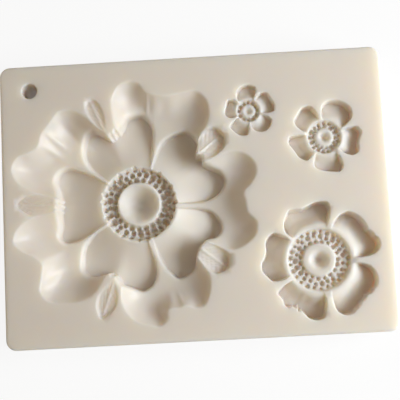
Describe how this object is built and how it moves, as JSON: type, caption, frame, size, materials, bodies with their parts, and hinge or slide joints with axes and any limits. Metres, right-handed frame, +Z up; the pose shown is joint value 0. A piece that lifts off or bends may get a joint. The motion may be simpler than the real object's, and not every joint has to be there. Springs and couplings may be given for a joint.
{
  "type": "silicone mould",
  "caption": "Soft rectangular silicone mould with flower cavities for pressing petals and blossoms from sugar paste, and a hanging hole in one corner.",
  "frame": {"origin": "middle of the slab on its underside", "axes": "+X along the slab, from the large flower towards the other flowers; +Y towards the hanging hole; +Z up, out of the cavities"},
  "size_m": [0.118, 0.0872, 0.015],
  "materials": {
    "silicone": "satin"
  },
  "bodies": {
    "large_flower_zone": {"large_flower_zone": "silicone"},
    "small_flower_zone": {"small_flower_zone": "silicone"}
  },
  "joints": [
    {"name": "release_flex", "type": "hinge", "parent": "large_flower_zone", "child": "small_flower_zone", "pos_m": [0.01992, -0.01136, 0.015], "axis": [-0.2588, -0.9659, 0], "range_deg": [0, 70], "stiffness_Nm_per_rad": 0.6}
  ]
}
